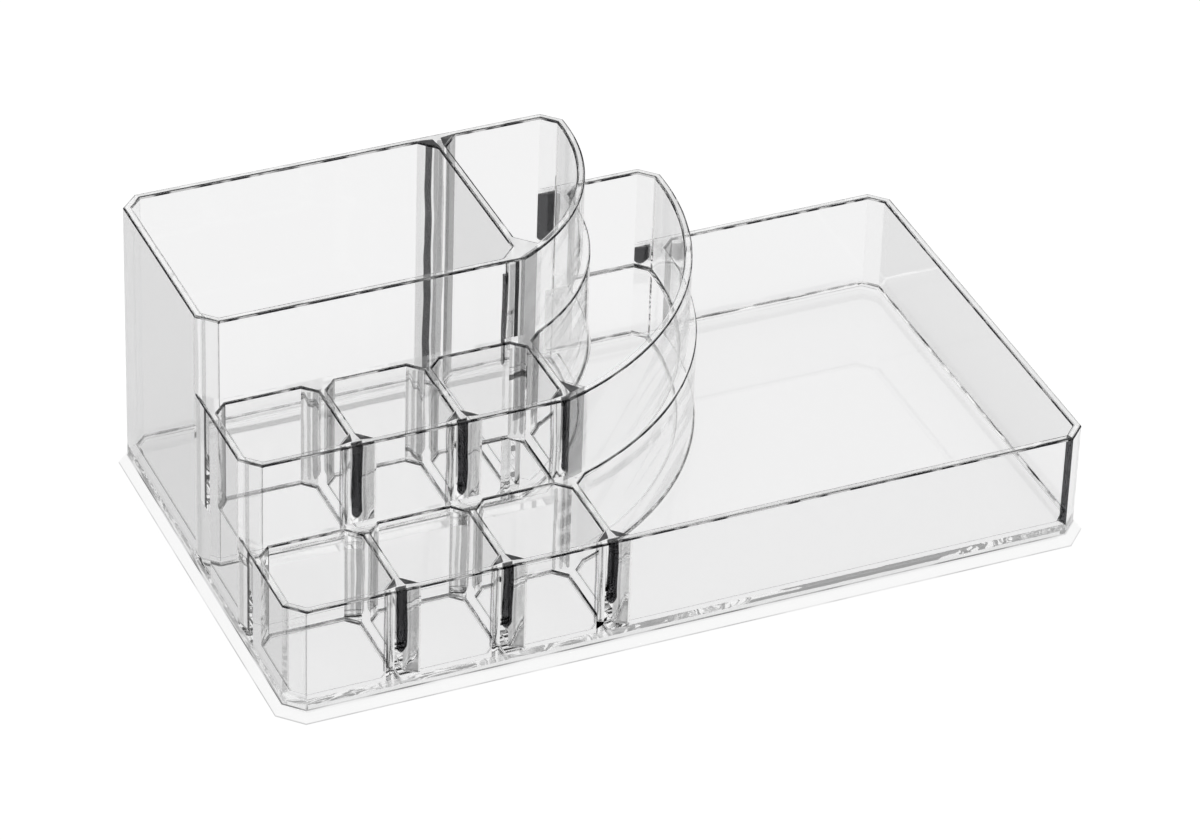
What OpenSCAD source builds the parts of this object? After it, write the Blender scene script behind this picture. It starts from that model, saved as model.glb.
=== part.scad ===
// Clear acrylic makeup organizer in three stepped tiers, with a shallow tray beside them.
// Every wall, divider and floor is a piece of its own, cemented face to face to its neighbours.
// Plan sizes run from the left face and the front face of the walls, heights from the table.

/* [Base] */
// Width over the foot of the base, left to right
base_w = 221; // [205:1:260]
// Depth over the foot of the base, front to back
base_d = 127; // [124:1:160]
// How far the sloped foot stands out past the walls
foot_out = 2.2; // [1:0.1:4]
// Height of the sloped foot
foot_h = 2.8; // [2:0.1:3.8]
// Height of the floor of the deep compartments
floor_z = 5; // [4:0.1:8]
// Thickness of that floor over the hollow underside
floor_t = 2; // [1.5:0.1:3]

/* [Heights] */
// Rim of the front cups and the tray
low_h = 32.5; // [30:0.5:44]
// Rim of the middle tier
mid_h = 55.6; // [50:0.1:68]
// Rim of the tall bin
tall_h = 78.7; // [72:0.1:100]
// Top of the middle tier's raised floor
mid_floor_z = 26.5; // [20:0.5:29]
// Thickness of the raised floor
mid_floor_t = 2; // [1.5:0.1:3]

/* [Tiers] */
// From the front face to the front of the middle tier
mid_y = 30.4; // [27:0.1:36]
// From the front face to the front of the tall bin
tall_y = 60.8; // [56:0.1:66]

/* [Walls] */
// Thickness of the walls
wall = 2.1; // [1.5:0.1:2.8]
// Thickness of the dividers
divider_t = 2.2; // [1.5:0.1:3]
// Width of the rim that each lower tier keeps in front of a taller one
ledge = 2; // [1.2:0.1:3]
// Leg of the 45 degree cut on each outer corner
corner_cut = 4.6; // [4:0.1:6]

/* [Dividers] */
// From the left face to the middle of the first divider
first_divider = 29.9; // [25:0.1:32]
// From the middle of one divider to the middle of the next
divider_pitch = 28; // [25:0.1:29]
// Leg of the 45 degree gusset at each divider end
gusset = 3.4; // [2:0.1:4.2]
// Leg of the gussets in the tall bin
tall_gusset = 4.2; // [2:0.1:6]
// Width of the gusset where a divider meets the hollow side of a curved wall
curve_gusset = 4.5; // [3:0.1:6]

/* [Curved walls] */
// Middle of both curved walls, from the left face
curve_x = 58.6; // [50:0.1:64]
// Middle of both curved walls, from the front face
curve_y = 116; // [108:0.5:116]

/* [Hidden] */
$fn = 180;

// Size over the walls
body_w = base_w - 2 * foot_out;
body_d = base_d - 2 * foot_out;
// Inner faces of the right wall and the back wall
inner_w = body_w - wall;
inner_d = body_d - wall;
// How far a mitre at a 45 degree corner runs along the inner face
mitre = wall * (sqrt(2) - 1);
// Leg of the cut on the inner side of a cut corner
inner_cut = corner_cut - wall * (2 - sqrt(2));
// Middle of the third divider, where both curved walls begin
third_x = first_divider + 2 * divider_pitch;
// Outer radii of the curved walls, so that each begins at the third divider
tall_r = norm([third_x - curve_x, curve_y - tall_y]);
mid_r = norm([third_x - curve_x, curve_y - mid_y]);
// Longer than the organizer in every direction
far = base_w + base_d + tall_h;
// How far a cutting shape runs past what it cuts
past = 3;

clear = [0.91, 0.94, 0.95, 0.45];

function divider_x(i) = first_divider + (i - 1) * divider_pitch;
// Where the flat face at depth y meets the circle of radius r
function meet_x(r, y) = curve_x + sqrt(r * r - (curve_y - y) * (curve_y - y));
// Depth of the circle of radius r at x
function face_y(r, x) = curve_y - sqrt(r * r - (x - curve_x) * (x - curve_x));

// Rectangle with 45 degree cuts of the leg c on its four corners
module cut_rectangle(x0, y0, x1, y1, c) {
    polygon([
        [x0 + c, y0], [x1 - c, y0], [x1, y0 + c], [x1, y1 - c],
        [x1 - c, y1], [x0 + c, y1], [x0, y1 - c], [x0, y0 + c]
    ]);
}

// Plan of the whole organizer, at the outer faces or at the inner faces
module low_plan(inner = false) {
    i = inner ? wall : 0;
    cut_rectangle(i, i, body_w - i, body_d - i, inner ? inner_cut : corner_cut);
}

// Everything left of a curved wall's face of radius r
module curve_side(r) {
    circle(r = r);
    translate([0, 0]) square([r, far]);
    translate([-far, -far]) square([far, 2 * far]);
}

// Plan of a raised tier, at the outer faces or at the inner faces
module tier_plan(front, r, inner = false) {
    i = inner ? wall : 0;
    intersection() {
        cut_rectangle(i, front + i, curve_x + r - i, body_d - i, inner ? inner_cut : corner_cut);
        translate([curve_x, curve_y]) curve_side(r - i);
    }
}

// Plan of a raised tier with the ledge of the tier in front of it
module ledge_plan(front, r) {
    intersection() {
        translate([-far, front - ledge]) square([2 * far, far]);
        translate([curve_x, curve_y]) curve_side(r + ledge);
    }
}

// Space between the front wall and the middle tier, and the spaces inside the raised tiers
module low_room() {
    difference() {
        low_plan(inner = true);
        ledge_plan(mid_y, mid_r);
    }
}

module middle_room() {
    difference() {
        tier_plan(mid_y, mid_r, inner = true);
        ledge_plan(tall_y, tall_r);
    }
}

module tall_room() {
    tier_plan(tall_y, tall_r, inner = true);
}

// Stands a plan up between two heights, with the middle of the base at the origin
module stand(z0, z1) {
    translate([-body_w / 2, -body_d / 2, z0]) linear_extrude(height = z1 - z0) children();
}

// Straight strip of an outer wall, with mitred ends for the corner pieces
module outer_strip(length) {
    polygon([
        [corner_cut, 0], [length - corner_cut, 0],
        [length - corner_cut - mitre, wall], [corner_cut + mitre, wall]
    ]);
}

// Corner piece between two outer walls, with its cut across the plan's first corner
module outer_corner() {
    polygon([
        [0, corner_cut], [corner_cut, 0],
        [corner_cut + mitre, wall], [wall, corner_cut + mitre]
    ]);
}

// Strip of the left wall behind the front of a raised tier, with its front end cut at 45 degrees
module left_strip(front) {
    polygon([
        [0, front + corner_cut], [wall, front + corner_cut - wall],
        [wall, body_d - corner_cut - mitre], [0, body_d - corner_cut]
    ]);
}

// Strip of the back wall of a raised tier, with its right end cut at 45 degrees
module back_strip(r) {
    end_x = curve_x + r - corner_cut;
    polygon([
        [corner_cut + mitre, inner_d], [end_x + wall, inner_d],
        [end_x, body_d], [corner_cut, body_d]
    ]);
}

// Corner piece of a raised tier, against the inner face of the left wall
module tier_corner(front) {
    polygon([
        [wall, front + corner_cut - wall], [corner_cut, front],
        [corner_cut + mitre, front + wall], [wall, front + corner_cut + mitre]
    ]);
}

// Flat front wall of a raised tier, up to the start of its curved wall
module tier_front(front, r) {
    polygon([
        [corner_cut, front], [third_x, front],
        [meet_x(r - wall, front + wall), front + wall], [corner_cut + mitre, front + wall]
    ]);
}

// Everything right of the mitre line that runs from (x0, y0) to (x1, y1), up to the back wall
module right_of_mitre(x0, y0, x1, y1) {
    polygon([
        [x0 + x0 - x1, y0 + y0 - y1], [far, y0 + y0 - y1], [far, inner_d],
        [x1 + x1 - x0, inner_d], [x1 + x1 - x0, y1 + y1 - y0]
    ]);
}

// Curved wall of a raised tier, with the cut corner that ends it at the back wall.
// Its plans start in front of the tier, and the mitre line ends it.
module tier_curve(front, r) {
    intersection() {
        difference() {
            tier_plan(front - past, r);
            tier_plan(front - past, r, inner = true);
        }
        right_of_mitre(third_x, front, meet_x(r - wall, front + wall), front + wall);
    }
}

// Flat ledge wall in front of a raised tier, with the gusset that fills its left corner
module front_ledge(front, r) {
    y = front - ledge;
    polygon([
        [wall, y - gusset], [wall + gusset, y], [meet_x(r + ledge, y), y],
        [third_x, front], [corner_cut, front], [wall, front + corner_cut - wall]
    ]);
}

// Curved ledge wall round a raised tier, with the gusset that fills its back corner
module curved_ledge(front, r) {
    y = front - ledge;
    face_x = curve_x + r;
    reach = ledge + gusset + past;
    intersection() {
        difference() {
            union() {
                ledge_plan(front - past, r);
                polygon([
                    [face_x, inner_d + past - reach], [face_x + reach, inner_d + past],
                    [face_x, inner_d + past]
                ]);
            }
            tier_plan(front - past, r);
        }
        right_of_mitre(meet_x(r + ledge, y), y, third_x, front);
    }
}

// Divider from y0 to y1 with a gusset of the leg g on each side of each end. The right gussets
// leave it at the depths right0 and right1. Its ends run past the walls and are cut to a room.
module divider_plan(x, y0, y1, g, right0, right1) {
    left = x - divider_t / 2;
    right = x + divider_t / 2;
    polygon([
        [left, y0 + g], [left - g - past, y0 - past],
        [right + right0 - y0 + past, y0 - past], [right, right0],
        [right, right1], [right + y1 - right1 + past, y1 + past],
        [left - g - past, y1 + past], [left, y1 - g]
    ]);
}

// Depth at which a gusset of the width w, at the end of the third divider, leaves the divider
// for a curved face of radius r. The wall is in front of the room, or with back set, behind it.
function curve_leaves(r, w, back = false) =
    face_y(r, third_x + divider_t / 2 + w) + (back ? -w : w);

module base_prism(half) {
    rotate([90, 0, 0]) linear_extrude(height = 2 * far, center = true) polygon([
        [-half - foot_out, 0], [half + foot_out, 0], [half, foot_h],
        [half, floor_z], [-half, floor_z], [-half, foot_h]
    ]);
}

module base_plate() {
    // Half of the distance between two opposite corner cuts, square to them
    diagonal = (body_w + body_d - 2 * corner_cut) / 2 / sqrt(2);
    // Turns each cut's own direction to the x axis
    color(clear) difference() {
        intersection() {
            base_prism(body_w / 2);
            rotate([0, 0, 90]) base_prism(body_d / 2);
            rotate([0, 0, 45]) base_prism(diagonal);
            rotate([0, 0, -45]) base_prism(diagonal);
        }
        stand(-past, floor_z - floor_t) low_plan(inner = true);
    }
}

module left_wall() {
    color(clear) union() {
        stand(floor_z, low_h) polygon([
            [0, corner_cut], [wall, corner_cut + mitre],
            [wall, body_d - corner_cut - mitre], [0, body_d - corner_cut]
        ]);
        stand(low_h, mid_h) left_strip(mid_y);
        stand(mid_h, tall_h) left_strip(tall_y);
    }
}

module back_wall() {
    color(clear) union() {
        stand(floor_z, low_h) translate([0, body_d]) mirror([0, 1]) outer_strip(body_w);
        stand(low_h, mid_h) back_strip(mid_r);
        stand(mid_h, tall_h) back_strip(tall_r);
    }
}

module front_wall() {
    color(clear) stand(floor_z, low_h) outer_strip(body_w);
}

module right_wall() {
    color(clear) stand(floor_z, low_h) translate([body_w, 0]) rotate(90) outer_strip(body_d);
}

module back_left_corner() {
    color(clear) stand(floor_z, tall_h) translate([0, body_d]) mirror([0, 1]) outer_corner();
}

module front_left_corner() {
    color(clear) stand(floor_z, low_h) outer_corner();
}

module front_right_corner() {
    color(clear) stand(floor_z, low_h) translate([body_w, 0]) mirror([1, 0]) outer_corner();
}

module back_right_corner() {
    color(clear) stand(floor_z, low_h) translate([body_w, body_d]) rotate(180) outer_corner();
}

module tall_front_wall() {
    color(clear) stand(floor_z, tall_h) tier_front(tall_y, tall_r);
}

module tall_corner() {
    color(clear) stand(floor_z, tall_h) tier_corner(tall_y);
}

module tall_curved_wall() {
    color(clear) stand(floor_z, tall_h) tier_curve(tall_y, tall_r);
}

module tall_divider() {
    color(clear) stand(floor_z, tall_h) intersection() {
        divider_plan(third_x, tall_y + wall, inner_d, tall_gusset,
            curve_leaves(tall_r - wall, curve_gusset), inner_d - tall_gusset);
        tall_room();
    }
}

module middle_front_wall() {
    color(clear) stand(floor_z, mid_h) tier_front(mid_y, mid_r);
}

module middle_corner() {
    color(clear) stand(floor_z, mid_h) tier_corner(mid_y);
}

module middle_curved_wall() {
    color(clear) stand(floor_z, mid_h) tier_curve(mid_y, mid_r);
}

module middle_floor() {
    color(clear) stand(mid_floor_z - mid_floor_t, mid_floor_z) difference() {
        tier_plan(mid_y, mid_r, inner = true);
        tier_plan(tall_y, tall_r);
    }
}

module middle_rear_ledge() {
    color(clear) stand(mid_floor_z, mid_h) front_ledge(tall_y, tall_r);
}

module middle_inner_curve() {
    color(clear) stand(mid_floor_z, mid_h) curved_ledge(tall_y, tall_r);
}

module middle_divider(i) {
    y0 = mid_y + wall;
    y1 = tall_y - ledge;
    right0 = i < 3 ? y0 + gusset : curve_leaves(mid_r - wall, curve_gusset);
    right1 = i < 3 ? y1 - gusset : curve_leaves(tall_r + ledge, gusset, back = true);
    color(clear) stand(mid_floor_z, mid_h) intersection() {
        divider_plan(divider_x(i), y0, y1, gusset, right0, right1);
        middle_room();
    }
}

module front_rear_ledge() {
    color(clear) stand(floor_z, low_h) front_ledge(mid_y, mid_r);
}

module tray_curved_ledge() {
    color(clear) stand(floor_z, low_h) curved_ledge(mid_y, mid_r);
}

module front_divider(i) {
    y1 = mid_y - ledge;
    right1 = i < 3 ? y1 - gusset : curve_leaves(mid_r + ledge, gusset, back = true);
    color(clear) stand(floor_z, low_h) intersection() {
        divider_plan(divider_x(i), wall, y1, gusset, wall + gusset, right1);
        low_room();
    }
}

base_plate();
left_wall();
back_wall();
front_wall();
right_wall();
back_left_corner();
front_left_corner();
front_right_corner();
back_right_corner();
tall_front_wall();
tall_corner();
tall_curved_wall();
tall_divider();
middle_front_wall();
middle_corner();
middle_curved_wall();
middle_floor();
middle_rear_ledge();
middle_inner_curve();
middle_divider(1);  // middle_divider_1
middle_divider(2);  // middle_divider_2
middle_divider(3);  // middle_divider_3
front_rear_ledge();
tray_curved_ledge();
front_divider(1);  // front_divider_1
front_divider(2);  // front_divider_2
front_divider(3);  // front_divider_3
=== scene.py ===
import math

import bpy
from mathutils import Matrix, Vector, geometry


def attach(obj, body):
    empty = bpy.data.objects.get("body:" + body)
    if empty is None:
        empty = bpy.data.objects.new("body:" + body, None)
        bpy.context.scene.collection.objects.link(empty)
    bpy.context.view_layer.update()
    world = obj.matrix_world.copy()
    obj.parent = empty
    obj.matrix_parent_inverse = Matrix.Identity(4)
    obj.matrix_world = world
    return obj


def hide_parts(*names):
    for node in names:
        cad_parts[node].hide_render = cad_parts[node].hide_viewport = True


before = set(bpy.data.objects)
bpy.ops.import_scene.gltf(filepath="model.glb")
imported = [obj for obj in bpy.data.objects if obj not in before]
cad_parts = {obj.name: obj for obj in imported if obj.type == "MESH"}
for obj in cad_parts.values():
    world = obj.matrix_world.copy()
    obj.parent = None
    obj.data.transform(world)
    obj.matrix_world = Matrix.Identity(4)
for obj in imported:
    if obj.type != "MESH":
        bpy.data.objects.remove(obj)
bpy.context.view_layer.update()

scene = bpy.context.scene

# All plan sizes are in mm from the left and the front face of the walls, heights from the table.
base = {"width": 216.6, "depth": 122.6, "footOut": 2.2, "footHeight": 2.8, "floorTop": 5.0,
        "floorThick": 2.07}
tiers = {"low": 32.5, "middle": 55.6, "tall": 78.7, "middleFront": 30.4, "tallFront": 60.8,
         "raisedFloor": 26.5, "raisedFloorThick": 2.0}
walls = {"thick": 2.1, "ledge": 2.0, "cornerCut": 4.6, "curveX": 58.6, "curveY": 116.0,
         "curveStart": 85.9, "degreesPerFacet": 1.25}
dividers = {"thick": 2.2, "first": 29.9, "pitch": 28.0, "perRow": 3, "gusset": 3.4,
            "tallGusset": 4.2, "curveGusset": 4.5}
rims = {"radius": 0.6, "steps": 5, "runOut": 0.9}  # the polished round along every rim
feet = {"radius": 0.9, "steps": 4}  # the small hollow where a wall meets a floor
cement = {"thick": 0.008}  # the gap in every joint, half of it taken from each piece
sameNumber, samePoint, sameLine, sameCurve = 1e-6, 1e-3, 0.01, 0.02  # mm within which two are one
sameNormal = 0.2  # joint faces whose normals differ less than this lie in one flat
longestFacet = 5.0  # mm, the longest straight step along a curve
tallestRound = 1.0  # mm, upright faces lower than this belong to a rim or a foot
wallEnd = 0.5  # mm, no stretch of a wall starts nearer than this to its end

width, depth = base["width"], base["depth"]
wall, ledge, cut = walls["thick"], walls["ledge"], walls["cornerCut"]
mitre = wall * (math.sqrt(2) - 1)  # how far a 45 degree corner shortens a wall's inner face
innerCut = cut - wall * (2 - math.sqrt(2))  # leg of the same corner on the inside
curveX, curveY, startX = walls["curveX"], walls["curveY"], walls["curveStart"]
innerW, innerD = width - wall, depth - wall
tallY, middleY = tiers["tallFront"], tiers["middleFront"]
tallR = math.hypot(startX - curveX, curveY - tallY)
middleR = math.hypot(startX - curveX, curveY - middleY)


def meetX(radius, y):
    # where the curve of this radius starts from the straight front at the depth y
    return curveX + math.sqrt(radius * radius - (curveY - y) ** 2)


def tipX(radius):
    # where the gusset of the last divider ends on the curve
    isLedge = min(abs(radius - tallR - ledge), abs(radius - middleR - ledge)) < sameNumber
    return startX + dividers["thick"] / 2 + dividers["gusset" if isLedge else "curveGusset"]


def arc(radius, y):
    # the curve from the depth y to its right-most point, with a corner where a gusset ends on it
    first = math.atan2(y - curveY, meetX(radius, y) - curveX)
    tip = math.acos((tipX(radius) - curveX) / radius)
    curve = []
    for start, end in ((-first, tip), (tip, 0)):
        steps = max(1, math.ceil(math.degrees(start - end) / walls["degreesPerFacet"]))
        curve += [start + (end - start) * i / steps for i in range(steps)]
    return [(curveX + radius * math.cos(a), curveY - radius * math.sin(a)) for a in curve + [0]]


def arcToTip(points, radius):
    return [p for p in points if p[0] < tipX(radius) + sameNumber]


def octagon(inset, leg):
    x1, y1 = width - inset, depth - inset
    return [(inset + leg, inset), (x1 - leg, inset), (x1, inset + leg), (x1, y1 - leg),
            (x1 - leg, y1), (inset + leg, y1), (inset, y1 - leg), (inset, inset + leg)]


def leftStrip(front):
    return [(0, front + cut), (wall, front + cut - wall), (wall, depth - cut - mitre),
            (0, depth - cut)]


def backStrip(radius):
    endX = curveX + radius - cut
    return [(cut, depth), (cut + mitre, innerD), (endX + wall, innerD), (endX, depth)]


def tierCorner(y):
    return [(wall, y + cut - wall), (cut, y), (cut + mitre, y + wall), (wall, y + cut + mitre)]


def tierFront(y, radius):
    return [(cut, y), (startX, y), (meetX(radius - wall, y + wall), y + wall),
            (cut + mitre, y + wall)]


def tierCurve(y, radius):
    endX = curveX + radius
    backEnd = [(endX, depth - cut), (endX - cut + wall, innerD),
               (endX - wall - innerCut, innerD), (endX - wall, innerD - innerCut)]
    return arc(radius, y) + backEnd + arc(radius - wall, y + wall)[::-1]


def frontLedge(y, radius):
    g = dividers["gusset"]
    return [(wall, y - ledge - g), (wall + g, y - ledge),
            (meetX(radius + ledge, y - ledge), y - ledge), (startX, y), (cut, y),
            (wall, y + cut - wall)]


def curvedLedge(y, radius):
    g, endX = dividers["gusset"], curveX + radius
    backEnd = [(endX + ledge, innerD - g), (endX + ledge + g, innerD),
               (endX - cut + wall, innerD), (endX, depth - cut)]
    return arc(radius + ledge, y - ledge) + backEnd + arc(radius, y)[::-1]


def raisedFloor():
    endX, backX = curveX + middleR - wall, curveX + tallR
    front = [(wall, middleY + cut + mitre), (cut + mitre, middleY + wall)]
    backEnd = [(endX, innerD - innerCut), (endX - innerCut, innerD),
               (backX - cut + wall, innerD), (backX, depth - cut)]
    rear = [(cut, tallY), (wall, tallY + cut - wall)]
    return front + arc(middleR - wall, middleY + wall) + backEnd + arc(tallR, tallY)[::-1] + rear


def straightDivider(x, y0, y1, g):
    a, b = x - dividers["thick"] / 2, x + dividers["thick"] / 2
    return [(a - g, y0), (b + g, y0), (b, y0 + g), (b, y1 - g), (b + g, y1), (a - g, y1),
            (a, y1 - g), (a, y0 + g)]


def lastDivider(y0, y1, g, frontRadius=None, backRadius=None):
    # the divider that meets the curved walls, with its right gussets trimmed to their faces
    a, b = startX - dividers["thick"] / 2, startX + dividers["thick"] / 2
    outline = [(a - g, y0)]
    if frontRadius:
        front = arcToTip(arc(frontRadius, y0), frontRadius)
        outline += front + [(b, front[-1][1] + front[-1][0] - b)]
    else:
        outline += [(b + g, y0), (b, y0 + g)]
    if backRadius:
        back = arcToTip(arc(backRadius, y1), backRadius)
        outline += [(b, back[-1][1] - back[-1][0] + b)] + back[::-1]
    else:
        outline += [(b, y1 - g), (b + g, y1)]
    return outline + [(a - g, y1), (a, y1 - g), (a, y0 + g)]


floorTop, raisedTop = base["floorTop"], tiers["raisedFloor"]
lowTop, middleTop, tallTop = tiers["low"], tiers["middle"], tiers["tall"]
footLeg = cut - base["footOut"] * (math.sqrt(2) - 2)
recess = octagon(wall, innerCut)  # the hollow underside
recessTop = floorTop - base["floorThick"]
gusset, tallGusset = dividers["gusset"], dividers["tallGusset"]
cupX = [dividers["first"] + i * dividers["pitch"] for i in range(dividers["perRow"])]
frontCups = (wall, middleY - ledge, gusset)  # y of the front and the rear end, size of gussets
middleCups = (middleY + wall, tallY - ledge, gusset)
tallBin = (tallY + wall, innerD, tallGusset)

# Each piece is one or more blocks: outline, lowest and highest height, and where it is hollowed
# out, the outline of the hollow.
plan = {
    "base_plate": [(octagon(-base["footOut"], footLeg), 0, base["footHeight"], recess),
                   (octagon(0, cut), base["footHeight"], recessTop, recess),
                   (octagon(0, cut), recessTop, floorTop)],
    "left_wall": [([(0, cut), (wall, cut + mitre), (wall, depth - cut - mitre),
                    (0, depth - cut)], floorTop, lowTop),
                  (leftStrip(middleY), lowTop, middleTop), (leftStrip(tallY), middleTop, tallTop)],
    "back_wall": [([(cut, depth), (cut + mitre, innerD), (width - cut - mitre, innerD),
                    (width - cut, depth)], floorTop, lowTop),
                  (backStrip(middleR), lowTop, middleTop), (backStrip(tallR), middleTop, tallTop)],
    "front_wall": [([(cut, 0), (width - cut, 0), (width - cut - mitre, wall),
                     (cut + mitre, wall)], floorTop, lowTop)],
    "right_wall": [([(width, cut), (width, depth - cut), (innerW, depth - cut - mitre),
                     (innerW, cut + mitre)], floorTop, lowTop)],
    "back_left_corner": [([(0, depth - cut), (wall, depth - cut - mitre), (cut + mitre, innerD),
                           (cut, depth)], floorTop, tallTop)],
    "front_left_corner": [([(0, cut), (cut, 0), (cut + mitre, wall), (wall, cut + mitre)],
                           floorTop, lowTop)],
    "front_right_corner": [([(width - cut, 0), (width, cut), (innerW, cut + mitre),
                             (width - cut - mitre, wall)], floorTop, lowTop)],
    "back_right_corner": [([(width, depth - cut), (width - cut, depth),
                            (width - cut - mitre, innerD), (innerW, depth - cut - mitre)],
                           floorTop, lowTop)],
    "tall_front_wall": [(tierFront(tallY, tallR), floorTop, tallTop)],
    "tall_corner": [(tierCorner(tallY), floorTop, tallTop)],
    "tall_curved_wall": [(tierCurve(tallY, tallR), floorTop, tallTop)],
    "tall_divider": [(lastDivider(*tallBin, tallR - wall), floorTop, tallTop)],
    "middle_front_wall": [(tierFront(middleY, middleR), floorTop, middleTop)],
    "middle_corner": [(tierCorner(middleY), floorTop, middleTop)],
    "middle_curved_wall": [(tierCurve(middleY, middleR), floorTop, middleTop)],
    "middle_floor": [(raisedFloor(), raisedTop - tiers["raisedFloorThick"], raisedTop)],
    "middle_rear_ledge": [(frontLedge(tallY, tallR), raisedTop, middleTop)],
    "middle_inner_curve": [(curvedLedge(tallY, tallR), raisedTop, middleTop)],
    "middle_divider_1": [(straightDivider(cupX[0], *middleCups), raisedTop, middleTop)],
    "middle_divider_2": [(straightDivider(cupX[1], *middleCups), raisedTop, middleTop)],
    "middle_divider_3": [(lastDivider(*middleCups, middleR - wall, tallR + ledge),
                          raisedTop, middleTop)],
    "front_rear_ledge": [(frontLedge(middleY, middleR), floorTop, lowTop)],
    "tray_curved_ledge": [(curvedLedge(middleY, middleR), floorTop, lowTop)],
    "front_divider_1": [(straightDivider(cupX[0], *frontCups), floorTop, lowTop)],
    "front_divider_2": [(straightDivider(cupX[1], *frontCups), floorTop, lowTop)],
    "front_divider_3": [(lastDivider(*frontCups, None, middleR + ledge), floorTop, lowTop)],
}
names = list(plan)
ledgeNames = ("front_rear_ledge", "tray_curved_ledge", "middle_rear_ledge", "middle_inner_curve")

# Bands of painted shade in the joints, standing in for the dark strips that refraction shows at
# gussets, corners and curve ends: left and right end, lowest and highest height, how dark. With a
# pitch they repeat at every divider and are measured from its middle. A joint with no depth is only
# where endJoints says.
joints = {
    "joint_front": {"depth": wall, "pitch": dividers["pitch"], "bands": [
        (-1.45, 1.4, 12.6, 32.4, 0.97), (-4.3, -3.8, 7, 32, 0.55), (-3.2, -2.8, 7, 32, 0.5),
        (1.7, 2.3, 9, 31, 0.25)]},
    "joint_middle_front": {"depth": middleY + wall, "pitch": dividers["pitch"], "bands": [
        (-1.45, 1.4, 32.6, 55.4, 0.97), (-4.3, -3.8, 29, 55, 0.55), (-3.2, -2.8, 29, 55, 0.5),
        (1.7, 2.3, 30, 54, 0.25)]},
    "joint_front_rear": {"depth": middleY - ledge, "pitch": dividers["pitch"], "bands": [
        (-4.6, -3.6, 5, 31, 0.35), (-2.6, -1.5, 5, 31, 0.3), (-0.9, 0.9, 5, 31, 0.5),
        (1.8, 3.6, 5, 31, 0.4)]},
    "joint_middle_rear": {"depth": tallY - ledge, "pitch": dividers["pitch"], "bands": [
        (-4.6, -3.6, 27, 54, 0.3), (-2.6, -1.5, 27, 54, 0.3), (-0.9, 0.9, 27, 54, 0.45),
        (1.8, 3.6, 27, 54, 0.4)]},
    "joint_back": {"depth": innerD, "bands": [
        (83.2, 85.5, 6, 78.2, 0.9), (86.2, 88.2, 6, 78.2, 0.5), (114.6, 119.9, 40, 55.6, 0.93),
        (142.8, 147.6, 26.5, 32.5, 0.95)]},
    "joint_tall_front": {"depth": tallY + wall, "bands": [
        (80.7, 81.8, 46, 74, 0.9), (82.2, 83.6, 50, 77, 0.4), (86.1, 86.9, 50, 77.5, 0.8),
        (87.1, 91.4, 50, 77.5, 0.5)]},
    "joint_end": {"bands": [(0, 200, 33, 79, 0.8), (0, 200, 0, 32.6, 0.3)]},
    "joint_tall_end": {"bands": [(100, 119.9, 42, 55.8, 0.5)]},
    "joint_middle_end": {"bands": [(130, 147.6, 26.3, 32.7, 0.5)]},
    "joint_wing": {"bands": [(80, 100, 29, 78, 0.5)]},
    "joint_corner": {"bands": [(-2, 230, 4, 79, 0.93)]},
    "joint_left_corner": {"bands": [(-2, 230, 4, 79, 0.25)]},
}
endJoints = {  # the joints that belong to a pair of pieces and not to a depth
    ("middle_front_wall", "middle_curved_wall"): "joint_end",
    ("tall_curved_wall", "middle_inner_curve"): "joint_tall_end",
    ("middle_curved_wall", "tray_curved_ledge"): "joint_middle_end",
    ("tall_curved_wall", "tall_divider"): "joint_wing",
    ("middle_curved_wall", "middle_divider_3"): "joint_wing",
    ("front_wall", "front_left_corner"): "joint_corner",
    ("front_wall", "front_right_corner"): "joint_corner",
    ("tall_front_wall", "tall_corner"): "joint_corner",
    ("middle_front_wall", "middle_corner"): "joint_corner",
    ("left_wall", "front_left_corner"): "joint_left_corner",
    ("left_wall", "tall_corner"): "joint_left_corner",
    ("left_wall", "middle_corner"): "joint_left_corner",
}

# One shared net of triangles for the plans of all pieces, so that neighbours share their corners.
points, pointIndex, outlines, outlineIndex = [], {}, [], {}


def pairs(ring):
    return zip(ring, ring[1:] + ring[:1])


def addPoint(p):
    key = (round(p[0], 4), round(p[1], 4))
    if key not in pointIndex:
        pointIndex[key] = len(points)
        points.append(Vector(p))
    return pointIndex[key]


def addOutline(outline):
    key = tuple((round(x, 4), round(y, 4)) for x, y in outline)
    if key not in outlineIndex:
        ring = [addPoint(p) for p in outline]
        outlineIndex[key] = len(outlines)
        outlines.append([v for v, w in pairs(ring) if v != w])
    return outlineIndex[key]


dividerRows = [(*frontCups, cupX), (*middleCups, cupX), (*tallBin, [startX])]
for y0, y1, _, middles in dividerRows:
    for x in middles:  # the plan is split along a divider's faces, to tell its gussets' tops apart
        a, b = x - dividers["thick"] / 2, x + dividers["thick"] / 2
        addOutline([(a, y0), (b, y0), (b, y1), (a, y1)])

blocks = []  # piece, outline, hollow, lowest, highest
for piece, name in enumerate(names):
    for outline, low, high, *hollow in plan[name]:
        blocks.append((piece, addOutline(outline), addOutline(hollow[0]) if hollow else None,
                       low, high))


def gussetZone(x, g):
    return x - dividers["thick"] / 2 - g, x + dividers["thick"] / 2 + g


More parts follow.
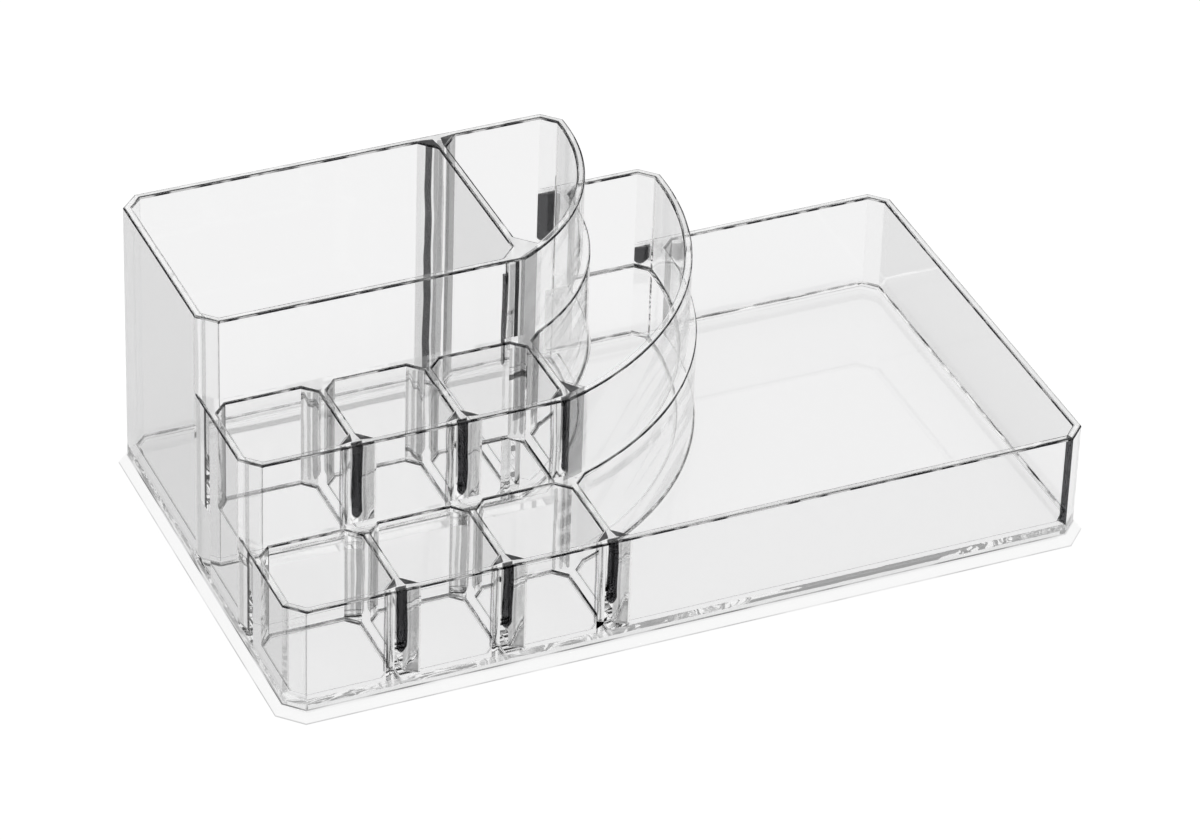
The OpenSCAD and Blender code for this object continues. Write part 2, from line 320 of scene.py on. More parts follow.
# Along a wall the listed stretches are cornered or carry a gusset; the rest is a plain panel.
cupZones = [gussetZone(x, gusset) for x in cupX]
tallZone = gussetZone(startX, tallGusset)
curveEndZones = [(curveX + radius - cut - mitre, curveX + radius + ledge + gusset)
                 for radius in (tallR, middleR)]
cornerZones = [(y - ledge - gusset, y + cut + mitre) for y in (middleY, tallY)]
wallLines = [  # axis the wall runs along, positions of its faces, first and last place, stretches
    ("x", (0, wall), cut, width - cut, cupZones),
    ("x", (middleY, middleY + wall), cut, startX, cupZones),
    ("x", (tallY, tallY + wall), cut, startX, [tallZone]),
    ("x", (depth, innerD), cut, width - cut, [tallZone] + curveEndZones),
    ("y", (0, wall), cut, depth - cut, cornerZones),
    ("y", (width, innerW), cut, depth - cut, []),
]
for axis, faces, first, last, zones in wallLines:
    for along in [v for zone in zones for v in zone if first + wallEnd < v < last - wallEnd]:
        for across in faces:
            addPoint((along, across) if axis == "x" else (across, along))
for p in [(0, tallY + cut - rims["runOut"]), (0, middleY + cut - rims["runOut"]),
          (curveX + tallR - cut + rims["runOut"], depth),
          (curveX + middleR - cut + rims["runOut"], depth)]:
    addPoint(p)  # where a rim's round runs out before a higher wall


def isPlainPanel(a, b):
    for axis, faces, first, last, zones in wallLines:
        i, j = (0, 1) if axis == "x" else (1, 0)
        if any(abs(a[j] - f) < sameLine and abs(b[j] - f) < sameLine for f in faces):
            middle = (a[i] + b[i]) / 2
            return first < middle < last and not any(start < middle < end for start, end in zones)
    return False


net, _, triangles, _, _, inside = geometry.delaunay_2d_cdt(points, [], outlines, 1, samePoint)
net = [Vector((p.x, p.y)) for p in net]
inside = [set(ids) for ids in inside]
print(f"plan: {len(net)} points, {len(triangles)} triangles from {len(outlines)} outlines")


def levelAt(z):
    return round(z, 5)


# Heights at which something starts, ends or bends. From here on v is a point of the net, k a
# level and t a triangle.
bends = {}  # height -> ("rim" or "foot", height of the rim or floor, offset, tilt of the surface)
for top in (lowTop, middleTop, tallTop):
    for i in range(rims["steps"] + 1):
        angle = math.radians(90 * i / rims["steps"])
        z = levelAt(top - rims["radius"] * (1 - math.sin(angle)))
        bends[z] = ("rim", top, rims["radius"] * (1 - math.cos(angle)), angle)
for low in (floorTop, raisedTop):
    for i in range(feet["steps"] + 1):
        angle = math.radians(90 * i / feet["steps"])
        z = levelAt(low + feet["radius"] * (1 - math.cos(angle)))
        bends[z] = ("foot", low, feet["radius"] * (1 - math.sin(angle)), math.pi / 2 - angle)
wallFrom = floorTop + feet["radius"]  # below this a wall belongs to its floor's corner
levels = sorted({levelAt(z) for block in blocks for z in block[3:5]} | set(bends))
guards = {min(levels, key=lambda level: abs(level - z))
          for z in (wallFrom, raisedTop + feet["radius"])}  # every upright face ends here


def ownerOf(t, z):
    for piece, outline, hollow, low, high in blocks:
        if low < z < high and outline in inside[t] and hollow not in inside[t]:
            return piece
    return -1


# owner[k] is what lies under levels[k], with air below the first and above the last level
air = [-1] * len(triangles)
owner = [[ownerOf(t, (a + b) / 2) for t in range(len(triangles))]
         for a, b in zip(levels, levels[1:])]
owner = [air] + owner + [air]

edgeSides = {}  # edge -> [(triangle, runs the same way as the edge)]
for t, ring in enumerate(triangles):
    for a, b in pairs(ring):
        edgeSides.setdefault((min(a, b), max(a, b)), []).append((t, a < b))


def trianglesAt(a, b):
    return [t for t, _ in edgeSides[min(a, b), max(a, b)]]


def leftAndRight(edge):
    left = right = -1
    for t, forward in edgeSides[edge]:
        if forward:
            left = t
        else:
            right = t
    return left, right


sides = {edge: leftAndRight(edge) for edge in edgeSides}


def ownedBy(k, t):
    return owner[k][t] if t >= 0 else -1


def offsets():
    # how far each point moves at each height, so that rims are round and wall feet are hollow
    moves = {}
    for z, (kind, edgeZ, offset, _) in bends.items():
        k, edgeK = levels.index(z), levels.index(levelAt(edgeZ))
        slabHere = edgeK if kind == "rim" else edgeK + 1
        slabPast = edgeK + 1 if kind == "rim" else edgeK
        around = {}
        for edge, (left, right) in sides.items():
            solidLeft, solidRight = ownedBy(slabHere, left) >= 0, ownedBy(slabHere, right) >= 0
            if solidLeft == solidRight:
                continue
            along = (net[edge[1]] - net[edge[0]]).normalized()
            toAir = Vector((along.y, -along.x)) if solidLeft else Vector((-along.y, along.x))
            if kind == "rim":
                bent = ownedBy(slabPast, left if solidLeft else right) < 0
            else:
                bent = ownedBy(slabPast, right if solidLeft else left) >= 0
            for v in edge:
                around.setdefault(v, []).append((toAir, bent))
        for v, found in around.items():
            if len(found) == 2 and found[0][1] and found[1][1]:
                n0, n1 = found[0][0], found[1][0]
                move = (n0 + n1) / (1 + n0.dot(n1)) * offset
                moves[v, k] = -move if kind == "rim" else move
    return moves


moved = offsets()
footOutline = set(outlines[blocks[0][1]])
footPoints = {v for v, p in enumerate(net)
              if any((p - points[q]).length < samePoint for q in footOutline)}
footLevel = levels.index(base["footHeight"])


def corner(v, k):
    return (v, 0) if k == footLevel and v in footPoints else (v, k)  # the foot slopes to the table


def place(v, k):
    p = net[v] + moved.get((v, k), Vector((0, 0)))
    return Vector((p.x - width / 2, p.y - depth / 2, levels[k])) / 1000


curveCentre = Vector((curveX, curveY))
curveRadii = [radius + more for radius in (tallR, middleR) for more in (-wall, 0, ledge)]


def isCurved(a, b):
    pa, pb = net[a] - curveCentre, net[b] - curveCentre
    ra, rb = pa.length, pb.length
    return (max(pa.y, pb.y) < samePoint and pa.x > 0 and abs(ra - rb) < sameCurve
            and any(abs(ra - r) < sameCurve and abs(rb - r) < sameCurve for r in curveRadii)
            and (pa - pb).length < longestFacet)


def wallNormal(v, k, flat, curved):
    side = (net[v] - curveCentre).normalized() if curved else flat
    if side.dot(flat) < 0:
        side = -side
    tilt = bends[levels[k]][3] if (v, k) in moved else 0
    return Vector((side.x * math.cos(tilt), side.y * math.cos(tilt), math.sin(tilt)))


def jointOf(piece, beyond, a, b):
    # painted shade stands in some of the joints as dark bands, in the face of one of the two pieces
    endJoint = endJoints.get((names[piece], names[beyond]))
    if endJoint and (endJoint == "joint_wing" or not isCurved(a, b)):
        return endJoint
    if piece < beyond:
        for look, joint in joints.items():
            y = joint.get("depth", math.inf)
            if abs(net[a].y - y) < sameLine and abs(net[b].y - y) < sameLine:
                return look
    return "joint"


def uprightRuns(piece):
    # (a, b, low, high, beyond) of every upright face of a piece, as tall as nothing interrupts it
    runs = []
    for (a0, b0), (left, right) in sides.items():
        for here, there, a, b in ((left, right, a0, b0), (right, left, b0, a0)):
            if here < 0:
                continue
            low, facing = None, None
            for k in range(1, len(levels)):
                beyond = ownedBy(k, there)
                mine = owner[k][here] == piece and beyond != piece
                bent = (a, k - 1) in moved or (b, k - 1) in moved
                broken = not mine or beyond != facing or bent or levels[k - 1] in guards
                if low is not None and broken:
                    runs.append((a, b, low, k - 1, facing))
                    low = None
                if mine:
                    low, facing = k - 1 if low is None else low, beyond
            if low is not None:
                runs.append((a, b, low, len(levels) - 1, facing))
    return runs


def sideLook(piece, a, b, low, high, beyond):
    name, pa, pb = names[piece], net[a], net[b]
    along = (pb - pa).normalized()
    isDivider = "divider" in name
    hasGussets = isDivider or name in ledgeNames
    if beyond >= 0:
        return jointOf(piece, beyond, a, b)
    if name == "base_plate" and high <= footLevel:
        return "floor"
    if levels[high] <= wallFrom + sameLine and (a, low) not in moved and (b, low) not in moved:
        return "band"
    if levels[high] - levels[low] < tallestRound:
        bend = bends.get(levels[low]) or bends.get(levels[high])
        return "fillet" if bend and bend[0] == "foot" else "edge"
    if isCurved(a, b):
        return "curve" if (pa - curveCentre).dot(Vector((along.y, -along.x))) > 0 else "curve_inner"
    if isDivider and abs(along.x) < sameLine or isPlainPanel(pa, pb):
        return "wall"
    if abs(abs(along.x) - abs(along.y)) < sameLine:
        isLastRear = name == "front_divider_3" and min(pa.y, pb.y) > middleY / 2
        return "gusset" if hasGussets and not isLastRear else "corner"
    return "ledge" if hasGussets and abs(along.y) < sameLine else "edge"


def sideFaces(piece):
    # (corners, look, normals) of every upright face of a piece
    runs = uprightRuns(piece)
    needed = {}
    for a, b, low, high, _ in runs:
        for v in (a, b):
            needed.setdefault(v, set()).update((low, high))
    faces = []
    for a, b, low, high, beyond in runs:
        up = sorted(k for k in needed[b] if low <= k <= high)
        down = sorted((k for k in needed[a] if low <= k <= high), reverse=True)
        ring = [(b, k) for k in up] + [(a, k) for k in down]
        along = (net[b] - net[a]).normalized()
        flat, curved = Vector((along.y, -along.x)), isCurved(a, b)
        faces.append((ring, sideLook(piece, a, b, low, high, beyond),
                      [wallNormal(v, k, flat, curved) for v, k in ring]))
    return faces


def isOnGusset(piece, t):
    # the front gussets of the cups' dividers and the rear ones of the tall divider get painted
    # shade on their tops
    if "divider" not in names[piece]:
        return False
    x, y = (sum(net[v][axis] for v in triangles[t]) / 3 for axis in (0, 1))
    half = dividers["thick"] / 2
    for y0, y1, size, middles in dividerRows:
        atEnd = y0 < y < y0 + size if y1 < innerD else y1 - size < y < y1
        if atEnd and any(half < abs(x - middle) < half + size for middle in middles):
            return True
    return False


def capPatches(piece, k):
    # the flat faces at a level, each as connected triangles of one kind
    groups = {}
    for t in range(len(triangles)):
        below, above = owner[k][t], owner[k + 1][t]
        if below != above and piece in (below, above):
            beyond = above if below == piece else below
            kind = below == piece, beyond, above < 0 and isOnGusset(piece, t)
            groups.setdefault(kind, set()).add(t)
    for kind, members in groups.items():
        while members:
            patch, waiting = set(), [members.pop()]
            while waiting:
                t = waiting.pop()
                patch.add(t)
                for other in [other for a, b in pairs(triangles[t]) for other in trianglesAt(a, b)]:
                    if other in members:
                        members.remove(other)
                        waiting.append(other)
            yield (*kind, patch)


def patchRings(patch):
    # the outline of connected triangles, or the triangles alone where it is more than one loop
    nextPoint, split = {}, False
    for t in patch:
        for a, b in pairs(triangles[t]):
            if not any(other in patch for other in trianglesAt(a, b) if other != t):
                split = split or a in nextPoint
                nextPoint[a] = b
    start = next(iter(nextPoint))
    loop, v = [start], nextPoint[start]
    while v != start:
        loop.append(v)
        v = nextPoint[v]
    if len(loop) == len(nextPoint) and not split:
        return [loop]
    return [list(triangles[t]) for t in patch]


def capLook(piece, k, faceUp, beyond, onGusset):
    if names[piece] == "base_plate" and k == footLevel:
        return "foot"
    if beyond >= 0:
        return "joint"
    if names[piece] in ("base_plate", "middle_floor"):
        return "floor"
    if faceUp:
        return "gusset_top" if onGusset else "rim"
    return "edge"


def capFaces(piece):
    # (corners, look, normals) of every flat face of a piece
    faces = []
    for k in range(len(levels)):
        for faceUp, beyond, onGusset, patch in capPatches(piece, k):
            look = capLook(piece, k, faceUp, beyond, onGusset)
            for ring in patchRings(patch):
                ring = [(v, k) for v in (ring if faceUp else ring[::-1])]
                faces.append((ring, look, [Vector((0, 0, 1 if faceUp else -1))] * len(ring)))
    return faces


def buildPiece(name, looks):
    piece = names.index(name)
    index, spots, faces, slots, normals, cemented = {}, [], [], [], [], {}
    for ring, look, ringNormals in sideFaces(piece) + capFaces(piece):
        corners, kept = [], []
        for (v, k), n in zip(ring, ringNormals):
            key = corner(v, k)
            if key not in index:
                index[key] = len(spots)
                spots.append(place(*key))
            if index[key] not in corners:
                corners.append(index[key])
                kept.append(n)
        if len(corners) < 3:
            continue
        flat = geometry.normal([spots[i] for i in corners])
        if any(corner(v, k) != (v, k) for v, k in ring):  # the slope of the foot
            kept = [flat] * len(corners)
        if look.startswith("joint"):
            for i in corners:
                known = cemented.setdefault(i, [])
                if all((flat - other).length > sameNormal for other in known):
                    known.append(flat)
        faces.append(corners)
        slots.append(list(looks).index(look))
        normals.extend(kept)
    for i, flats in cemented.items():  # a hair of room for the cement, so no two faces coincide
        spots[i] = spots[i] - sum(flats, Vector((0, 0, 0))) * cement["thick"] / 2000
    mesh = bpy.data.meshes.new(name)
    mesh.from_pydata(spots, [], faces)
    for material in looks.values():
        mesh.materials.append(material)
    mesh.polygons.foreach_set("material_index", slots)
    mesh.polygons.foreach_set("use_smooth", [True] * len(faces))
    mesh.validate()
    mesh.normals_split_custom_set(normals)
    mesh.update()
    thing = bpy.data.objects.new("clear_" + name, mesh)
    scene.collection.objects.link(thing)
    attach(thing, "root")
    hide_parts(name)


# From here on the materials. A Value is a socket that takes part in sums.
class Value:
    def __init__(self, nodes, socket):
        self.nodes, self.socket = nodes, socket

    def maths(self, operation, other, swapped=False):
        a, b = (other, self) if swapped else (self, other)
        return self.nodes.add("ShaderNodeMath", {"operation": operation}, {0: a, 1: b})

    def __add__(self, other):
        return self.maths("ADD", other)

    def __radd__(self, other):
        return self.maths("ADD", other, True)

    def __sub__(self, other):
        return self.maths("SUBTRACT", other)

    def __rsub__(self, other):
        return self.maths("SUBTRACT", other, True)

    def __mul__(self, other):
        return self.maths("MULTIPLY", other)

    def __rmul__(self, other):
        return self.maths("MULTIPLY", other, True)

    def __truediv__(self, other):
        return self.maths("DIVIDE", other)

    def __rtruediv__(self, other):
        return self.maths("DIVIDE", other, True)


class Nodes:
    def __init__(self, owner):
        owner.use_nodes = True
        self.tree = owner.node_tree
        self.tree.nodes.clear()

    def add(self, kind, settings=None, inputs=None, output=0):
        node = self.tree.nodes.new(kind)
        for key, value in (settings or {}).items():
            setattr(node, key, value)
        for key, value in (inputs or {}).items():
            if isinstance(value, Value):
                self.tree.links.new(value.socket, node.inputs[key])
            else:
                node.inputs[key].default_value = value
        return Value(self, node.outputs[output]) if len(node.outputs) else node


white = (1, 1, 1, 1)
# the see-through tint of the first face is partly the acrylic's own loss and partly painted shadow
# of the floor behind the object; shade is the colour of the painted shade
acrylic = {"tint": (0.99, 0.99, 0.99, 1), "ior": 1.49, "roughness": 0.0,
           "veilAndShadow": (0.872, 0.872, 0.874, 1), "panel": (0.999, 0.999, 0.999, 1),
           "foot": (0.97, 0.97, 0.97, 1), "shade": (0.025, 0.025, 0.028, 1)}
# The waves in the moulded surface: size across and up in mm, depth in mm. For the panels also how
# much of what is behind shows unbent.
surfaces = {
    "edge": {"across": 6.0, "up": 9.0, "deep": 0.06},
    "fillet": {"across": 6.0, "up": 9.0, "deep": 0.06},
    "gusset": {"across": 2.2, "up": 16.0, "deep": 0.09},
    "gusset_top": {"across": 2.0, "up": 4.0, "deep": 0.1},
    "foot": {"across": 12.0, "up": 12.0, "deep": 0.05},
    "wall": {"straight": 1.0, "across": 22.0, "up": 30.0, "deep": 0.02},
    "floor": {"straight": 1.0, "across": 25.0, "up": 25.0, "deep": 0.02},
    "ledge": {"straight": 0.65, "across": 12.0, "up": 12.0, "deep": 0.05},
    "curve": {"straight": 0.8, "across": 12.0, "up": 50.0, "deep": 0.3},
    "curve_inner": {"straight": 0.95, "across": 12.0, "up": 50.0, "deep": 0.1},
    "corner": {"straight": 0.75, "across": 4.0, "up": 16.0, "deep": 0.04},
    "band": {"straight": 0.45, "across": 9.0, "up": 2.5, "deep": 0.3},
    "rim": {"straight": 0.8, "across": 3.0, "up": 3.0, "deep": 0.06},
}


def newLook(name):
    material = bpy.data.materials.new(name)
    return material, Nodes(material)


def finishLook(nodes, surface):
    nodes.add("ShaderNodeOutputMaterial", None, {"Surface": surface})


def ray(nodes, kind):
    return nodes.add("ShaderNodeLightPath", None, None, kind)


def maths(nodes, operation, a, b):
    return nodes.add("ShaderNodeMath", {"operation": operation}, {0: a, 1: b})


def mixed(nodes, factor, first, second):
    return nodes.add("ShaderNodeMixShader", None, {0: factor, 1: first, 2: second})


def film(nodes, colour):
    # lets light straight through and tints it
    return nodes.add("ShaderNodeBsdfTransparent", None, {"Color": colour})


def smooth(nodes, value, fromMin, fromMax, toMin, toMax):
    return nodes.add("ShaderNodeMapRange", {"interpolation_type": "SMOOTHSTEP"}, {
        "Value": value, "From Min": fromMin, "From Max": fromMax, "To Min": toMin, "To Max": toMax})


def placeAlong(nodes, axis):
    # mm from the middle of the object, or from the table
    spot = nodes.add("ShaderNodeTexCoord", None, None, "Object")
    return nodes.add("ShaderNodeSeparateXYZ", None, {0: spot}, axis) * 1000


def noise(nodes, across, up, detail):
    # smooth noise with spots of the given size in mm
    spot = nodes.add("ShaderNodeTexCoord", None, None, "Object")
    sized = nodes.add("ShaderNodeVectorMath", {"operation": "MULTIPLY"}, {
        0: spot, 1: (1000 / across, 1000 / across, 1000 / up)}, "Vector")
    return nodes.add("ShaderNodeTexNoise", None, {
        "Vector": sized, "Scale": 1.0, "Detail": detail, "Roughness": 0.5})


def waves(nodes, part):
    surface = surfaces[part]
    return nodes.add("ShaderNodeBump", None, {
        "Strength": 1.0, "Distance": surface["deep"] / 1000,
        "Height": noise(nodes, surface["across"], surface["up"], 0.0)})


def solidAcrylic(nodes, normal):
    return nodes.add("ShaderNodeBsdfPrincipled", None, {
        "Base Color": acrylic["tint"], "Roughness": acrylic["roughness"], "IOR": acrylic["ior"],
        "Transmission Weight": 1.0, "Normal": normal})


def edgeLook(part):
    # solid acrylic; what came straight through a panel also leaves straight, and the small
    # rounds get painted shade in places, dark dashes that stand in for reflections of a dark room:
    # size of the dashes, tilt at which they start and end
    look = {"size": 5.0, "noise": (0.4, 0.55), "starts": (0.04, 0.2), "ends": (0.7, 0.9),
            "dark": {"edge": (0.3, 1.0), "fillet": (0.0, 0.45)}}
    material, nodes = newLook("clear_acrylic_" + part)
    cameraRay = ray(nodes, "Is Camera Ray")
    fromInside = nodes.add("ShaderNodeNewGeometry", None, None, "Backfacing")
    solid = solidAcrylic(nodes, waves(nodes, part))
    if part in look["dark"]:
        normal = nodes.add("ShaderNodeNewGeometry", None, None, "Normal")
        tilt = nodes.add("ShaderNodeSeparateXYZ", None, {0: normal}, "Z")
        dashes = smooth(nodes, noise(nodes, look["size"], look["size"], 1.0),
                        *look["noise"], *look["dark"][part])
        onRound = (smooth(nodes, tilt, *look["starts"], 0.0, 1.0)
                   * smooth(nodes, tilt, *look["ends"], 1.0, 0.0))
        # painted shade: dark dashes on the tilted faces of the rounds, seen by the camera only
        solid = mixed(nodes, cameraRay * onRound * dashes, solid, film(nodes, acrylic["shade"]))
    finishLook(nodes, mixed(nodes, cameraRay * fromInside, solid, film(nodes, white)))
    return material


def gussetTopLook():
    # the flat tops of the gussets, with patches of painted shade that stand in for the dark inside
    # of their corner seen by internal reflection
    look = {"across": 2.5, "up": 5.0, "noise": (0.35, 0.62), "dark": (1.0, 0.8), "roughness": 0.3}
    material, nodes = newLook("clear_acrylic_gusset_top")
    normal = waves(nodes, "gusset_top")
    patches = smooth(nodes, noise(nodes, look["across"], look["up"], 2.0),
                     *look["noise"], *look["dark"])
    # painted shade: a dark glossy surface in noisy patches, seen by the camera only
    dark = nodes.add("ShaderNodeBsdfPrincipled", None, {
        "Base Color": acrylic["shade"], "Roughness": look["roughness"], "IOR": acrylic["ior"],
        "Normal": normal})
    finishLook(nodes, mixed(nodes, ray(nodes, "Is Camera Ray") * patches,
                            solidAcrylic(nodes, normal), dark))
    return material


def footLook():
    # the sloped foot is nearly white, with a thin line of painted shade along its upper and its
    # lower edge, standing in for the dark refraction at those edges
    look = {"size": 14.0, "noise": (0.3, 0.6), "broken": (0.35, 1.0), "upperFrom": (2.45, 2.6),
            "upper": 0.75, "lowerTo": (0.1, 0.3), "lower": 0.45}
    material, nodes = newLook("clear_acrylic_foot")
    z = placeAlong(nodes, "Z")
    broken = smooth(nodes, noise(nodes, look["size"], look["size"], 1.0),
                    *look["noise"], *look["broken"])
    upper = smooth(nodes, z, *look["upperFrom"], 0.0, look["upper"])
    lower = smooth(nodes, z, *look["lowerTo"], look["lower"], 0.0)
    # painted shade: the dark lines, broken by noise, seen by the camera only
    lined = mixed(nodes, (upper + lower) * broken, film(nodes, acrylic["foot"]),
                  film(nodes, acrylic["shade"]))
    solid = solidAcrylic(nodes, waves(nodes, "foot"))
    finishLook(nodes, mixed(nodes, ray(nodes, "Is Camera Ray"), solid, lined))
    return material


def streaked(nodes, through, isFirst):
    # painted shade and painted light: slanting dark and white streaks on the curved walls, standing
    # in for refraction, which start and end at these angles
    look = {"across": 3.4, "along": 30.0, "rise": 1.57, "bend": 1.1, "darkFrom": (0.51, 0.57),
            "dark": 0.4, "whiteFrom": (0.48, 0.44), "white": 0.4, "starts": (-1.0, -0.4),
            "before": 0.15, "ends": (-0.35, 0.1)}
    x = placeAlong(nodes, "X") + (width / 2 - curveX)
    y = placeAlong(nodes, "Y") + (depth / 2 - curveY)
    z = placeAlong(nodes, "Z")
    angle = maths(nodes, "ARCTAN2", y, x)
    climb = z + (angle * look["rise"] + angle * angle * look["bend"]) * middleR
    slanted = nodes.add("ShaderNodeCombineXYZ", None, {
        0: climb / look["across"], 1: angle * middleR / look["along"], 2: z / look["along"]})
    height = nodes.add("ShaderNodeTexNoise", None, {"Vector": slanted, "Scale": 1.0, "Detail": 0.0})
    strength = (smooth(nodes, angle, *look["starts"], look["before"], 1.0)
                * smooth(nodes, angle, *look["ends"], 1.0, 0.0) * isFirst)
    # painted shade in the dark streaks, painted light in the white ones
    dark = smooth(nodes, height, *look["darkFrom"], 0.0, look["dark"]) * strength
    pale = smooth(nodes, height, *look["whiteFrom"], 0.0, look["white"]) * strength
    through = mixed(nodes, pale, through, film(nodes, white))
    return mixed(nodes, dark, through, film(nodes, acrylic["shade"]))


def panelLook(part):
    # a plain panel does not bend what is straight behind it, and darkens it once, partly its own
    # loss of light and partly painted shadow of the floor behind the object
    mirror = {"power": 3.0, "most": 0.95, "least": 0.008, "behind": 0.05}
    straight = surfaces[part]["straight"]
    laterStraight = max(straight, 0.92)  # behind another face nearly everything is straight
    material, nodes = newLook("clear_acrylic_" + part)
    normal = waves(nodes, part)
    facing = nodes.add("ShaderNodeLayerWeight", None, {"Blend": 0.5}, "Facing")
    isFirst = maths(nodes, "LESS_THAN", ray(nodes, "Transparent Depth"), 0.5)
    mirrored = maths(nodes, "POWER", facing, mirror["power"]) * mirror["most"] + mirror["least"]
    mirrored = mirrored * (isFirst * (1 - mirror["behind"]) + mirror["behind"])
    # painted shadow: the first face darkens what is behind it, later faces hardly at all
    through = mixed(nodes, isFirst, film(nodes, acrylic["panel"]), film(nodes, acrylic["veilAndShadow"]))
    if part == "curve":
        through = streaked(nodes, through, isFirst)
    shine = nodes.add("ShaderNodeBsdfAnisotropic", None, {
        "Color": white, "Roughness": 0.0, "Normal": normal})
    thin = mixed(nodes, mirrored, through, shine)
    inMirror = (maths(nodes, "LESS_THAN", ray(nodes, "Ray Depth"), 1.5)
                * ray(nodes, "Is Glossy Ray") * (1 - ray(nodes, "Is Transmission Ray")))
    seen = ray(nodes, "Is Camera Ray") + inMirror
    unbent = isFirst * (straight - laterStraight) + laterStraight
    finishLook(nodes, mixed(nodes, seen * unbent, solidAcrylic(nodes, normal), thin))
    return material


def jointLook(name, joint=None):
    # clear cement, in some joints with bands of painted shade that have soft sides and a round
    # lower end
    look = {"soft": 0.12, "roundest": 1.6, "lowEnd": 0.5, "highEnd": 0.4,
            "wobble": 0.9, "wobbleAcross": 6.0, "wobbleUp": 12.0}
    material, nodes = newLook("cemented_" + name)
    surface = film(nodes, white)
    if joint:
        wobble = noise(nodes, look["wobbleAcross"], look["wobbleUp"], 1.0) * look["wobble"]
        x = placeAlong(nodes, "X") + width / 2 + (wobble - look["wobble"] / 2)
        z = placeAlong(nodes, "Z")
        if "pitch" in joint:
            x = nodes.add("ShaderNodeMath", {"operation": "WRAP"}, {
                0: x - dividers["first"], 1: joint["pitch"] / 2, 2: -joint["pitch"] / 2})
        shade = 0.0
        for left, right, low, high, strength in joint["bands"]:
            soft = min(look["soft"], (right - left) / 3)
            band = (smooth(nodes, x, left - soft, left + soft, 0, strength)
                    * smooth(nodes, x, right - soft, right + soft, 1, 0))
            fromMiddle = (x - (left + right) / 2) * (2 / (right - left))
            rounded = z - fromMiddle * fromMiddle * min(look["roundest"], right - left)
            shade = shade + (band * smooth(nodes, rounded, low, low + look["lowEnd"], 0, 1)
                             * smooth(nodes, z, high - look["highEnd"], high, 1, 0))
        # painted shade: inside the bands the joint darkens what passes through it
        surface = mixed(nodes, shade, surface, film(nodes, acrylic["shade"]))
    finishLook(nodes, surface)
    return material


looks = {"edge": edgeLook("edge"), "fillet": edgeLook("fillet"), "gusset": edgeLook("gusset"),
         "gusset_top": gussetTopLook(), "foot": footLook(), "joint": jointLook("joint")}
for part, surface in surfaces.items():
    if "straight" in surface:
        looks[part] = panelLook(part)
for part, joint in joints.items():
    looks[part] = jointLook(part, joint)
print(f"looks: {len(looks)} made")
for name in names:
    buildPiece(name, looks)
print(f"pieces: {len(names)} built")

# Floor, light and camera.
table = {"reach": 8.0, "below": 0.0002, "colour": (0.8, 0.8, 0.8, 1), "glow": 0.935}


def floorLook():
    # the camera sees a white floor with the object's shadow, the acrylic sees the room around
    material, nodes = newLook("pale_floor")
    acrylicRay = maths(nodes, "MAXIMUM", ray(nodes, "Is Glossy Ray"),
                       ray(nodes, "Is Transmission Ray"))
    glow = nodes.add("ShaderNodeEmission", None, {
        "Color": white, "Strength": ray(nodes, "Is Camera Ray") * table["glow"]})
    matte = nodes.add("ShaderNodeBsdfDiffuse", None, {"Color": table["colour"]})
    lit = nodes.add("ShaderNodeAddShader", None, {0: matte, 1: glow})
    finishLook(nodes, mixed(nodes, acrylicRay, lit, film(nodes, white)))
    return material


reach, below = table["reach"], -table["below"]
floorMesh = bpy.data.meshes.new("floor")
floorMesh.from_pydata([(-reach, -reach, below), (reach, -reach, below), (reach, reach, below),
                       (-reach, reach, below)], [], [(0, 1, 2, 3)])
floorMesh.materials.append(floorLook())
floor = bpy.data.objects.new("floor", floorMesh)
scene.collection.objects.link(floor)

world = bpy.data.worlds.new("studio")
scene.world = world
# Brightness of what the acrylic shows: a table that is white towards the back and the right and
# darker to the left, a dark band of room around the horizon and a bright ceiling.
room = {"table": 0.86, "tableLeft": 0.34, "dark": 0.03, "ceiling": 1.0, "fill": 0.03,
        "whiteTowards": (0.82, 0.572, 0), "white": (0.17, 0.64),
        "leftTowards": (-0.966, 0.259, 0), "left": (0.1, 0.5),
        "below": (-0.3, -0.16), "above": (0.34, 0.5)}


def towards(nodes, level, direction):
    return nodes.add("ShaderNodeVectorMath", {"operation": "DOT_PRODUCT"}, {
        0: level, 1: direction}, "Value")


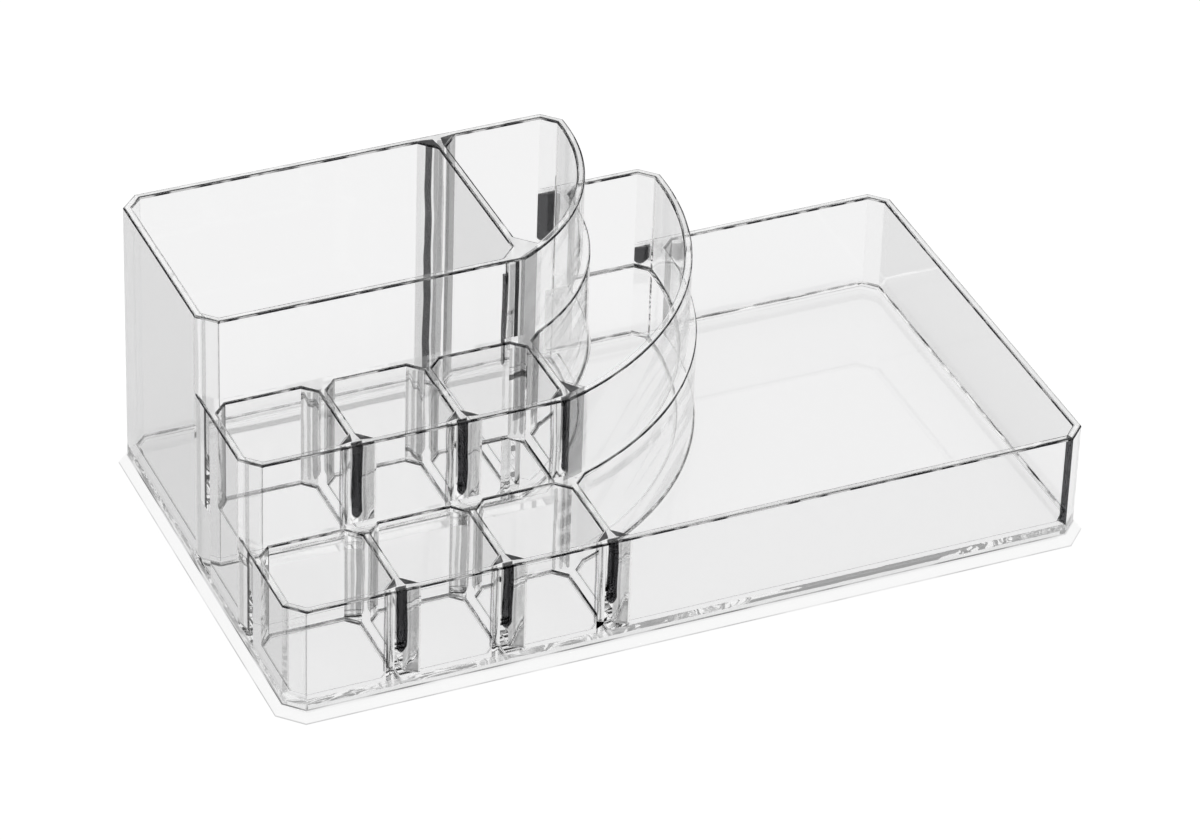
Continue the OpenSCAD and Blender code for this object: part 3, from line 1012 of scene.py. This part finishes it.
def skyLook():
    nodes = Nodes(world)
    cameraRay = ray(nodes, "Is Camera Ray")
    scattered = maths(nodes, "GREATER_THAN", ray(nodes, "Diffuse Depth"), 0.5)
    direction = nodes.add("ShaderNodeTexCoord", None, None, "Generated")
    height = nodes.add("ShaderNodeSeparateXYZ", None, {0: direction}, "Z")
    level = nodes.add("ShaderNodeVectorMath", {"operation": "MULTIPLY"}, {
        0: direction, 1: (1, 1, 0)}, "Vector")
    level = nodes.add("ShaderNodeVectorMath", {"operation": "NORMALIZE"}, {0: level}, "Vector")
    bright = smooth(nodes, towards(nodes, level, room["whiteTowards"]), *room["white"], 0.0, 1.0)
    left = smooth(nodes, towards(nodes, level, room["leftTowards"]), *room["left"], 0.0, 1.0)
    left = left * (1 - bright)
    tableSeen = bright * (room["table"] - room["dark"]) + left * (room["tableLeft"] - room["dark"])
    below = smooth(nodes, height, *room["below"], 1.0, 0.0)
    above = smooth(nodes, height, *room["above"], 0.0, room["ceiling"] - room["dark"])
    seen = below * tableSeen + above + room["dark"]
    seen = seen * (1 - scattered) + scattered * room["fill"]  # the floor's own light stays even
    sky = nodes.add("ShaderNodeBackground", None, {
        "Color": white, "Strength": cameraRay + (1 - cameraRay) * seen})
    nodes.add("ShaderNodeOutputWorld", None, {"Surface": sky})


skyLook()

lampSetup = {"place": (0.0, 0.0, 1.6), "size": 1.4, "power": 2.2}
lampData = bpy.data.lights.new("lamp_above", "AREA")
lampData.shape, lampData.size, lampData.energy = "DISK", lampSetup["size"], lampSetup["power"]
lamp = bpy.data.objects.new("lamp_above", lampData)
lamp.location = lampSetup["place"]
scene.collection.objects.link(lamp)

cameraSetup = {"place": (-0.51977, -1.15213, 0.90013), "right": (0.919381, -0.392274, 0.029326),
               "up": (0.201558, 0.533789, 0.821245), "back": (-0.337807, -0.749126, 0.569822),
               "lens": 180.446, "sensor": 36, "nearest": 0.05, "farthest": 50}
cameraData = bpy.data.cameras.new("camera")
cameraData.lens, cameraData.sensor_width = cameraSetup["lens"], cameraSetup["sensor"]
cameraData.clip_start, cameraData.clip_end = cameraSetup["nearest"], cameraSetup["farthest"]
camera = bpy.data.objects.new("camera", cameraData)
scene.collection.objects.link(camera)
axes = Matrix([cameraSetup[axis] for axis in ("right", "up", "back")]).transposed().to_4x4()
camera.matrix_world = Matrix.Translation(cameraSetup["place"]) @ axes
scene.camera = camera

scene.view_settings.view_transform = "Standard"
scene.cycles.max_bounces = 48  # light passes many layers of acrylic
scene.cycles.transmission_bounces = 48
scene.cycles.glossy_bounces = 24
scene.cycles.transparent_max_bounces = 96
print("floor, light and camera: set")
